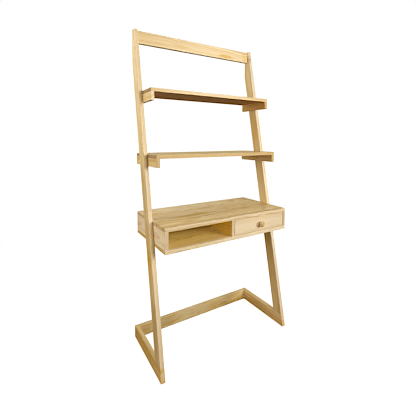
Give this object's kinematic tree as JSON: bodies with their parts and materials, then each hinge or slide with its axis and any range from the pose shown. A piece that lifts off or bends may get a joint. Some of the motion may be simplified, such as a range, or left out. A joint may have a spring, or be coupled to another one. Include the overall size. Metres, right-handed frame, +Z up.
{
  "type": "ladder desk",
  "caption": "Leaning ladder desk in clear-finished pine: side posts on floor runners, shelves above, and a desk box with an open cubby and a drawer.",
  "frame": {"origin": "On the floor, in the middle of the overall box, which takes in the drawer's knob at the front.", "axes": "+X is to the right of someone sitting at the desk, +Y runs back to the wall, +Z is up."},
  "size_m": [0.8572, 0.406, 1.797],
  "materials": {
    "clear_pine": "satin clear lacquer on solid pine",
    "beech_dowel": "plain fluted beech, not lacquered",
    "birch_plywood": "sanded thin plywood",
    "plated_steel": "bright zinc plating",
    "cast_zinc": "die-cast zinc, dull",
    "brass_insert": "turned brass",
    "stop_clip_nylon": "moulded natural nylon"
  },
  "bodies": {
    "frame": {"left_post": "clear_pine", "right_post": "clear_pine", "left_floor_runner": "clear_pine", "right_floor_runner": "clear_pine", "rear_floor_rail": "clear_pine", "top_rail": "clear_pine", "upper_shelf_board": "clear_pine", "upper_shelf_left_cleat": "clear_pine", "upper_shelf_right_cleat": "clear_pine", "lower_shelf_board": "clear_pine", "lower_shelf_left_cleat": "clear_pine", "lower_shelf_right_cleat": "clear_pine", "desk_top_board": "clear_pine", "desk_bottom_board": "clear_pine", "desk_left_end": "clear_pine", "desk_right_end": "clear_pine", "desk_divider": "clear_pine", "desk_back_panel": "clear_pine", "drawer_rest_blocks": "clear_pine", "drawer_stop_block": "clear_pine", "post_foot_dowels": "beech_dowel", "floor_rail_dowels": "beech_dowel", "top_rail_dowels": "beech_dowel", "desk_top_dowels": "beech_dowel", "rail_cams": "cast_zinc", "rail_cam_bolts": "plated_steel", "cleat_screws": "plated_steel", "shelf_screws": "plated_steel", "desk_bottom_screws": "plated_steel", "desk_back_screws": "plated_steel", "drawer_stop_block_screws": "plated_steel", "desk_post_bolts": "plated_steel", "post_threaded_inserts": "brass_insert"},
    "drawer": {"drawer_front": "clear_pine", "drawer_left_side": "clear_pine", "drawer_right_side": "clear_pine", "drawer_back": "clear_pine", "drawer_bottom": "birch_plywood", "drawer_stop_clip": "stop_clip_nylon", "drawer_knob": "clear_pine", "drawer_knob_screw": "plated_steel", "drawer_dowels": "beech_dowel", "drawer_back_screws": "plated_steel", "drawer_bottom_screws": "plated_steel", "drawer_clip_screws": "plated_steel"}
  },
  "joints": [
    {"name": "drawer_slide", "type": "slide", "parent": "frame", "child": "drawer", "axis": [0, -1, 0], "range_m": [0, 0.26]}
  ]
}
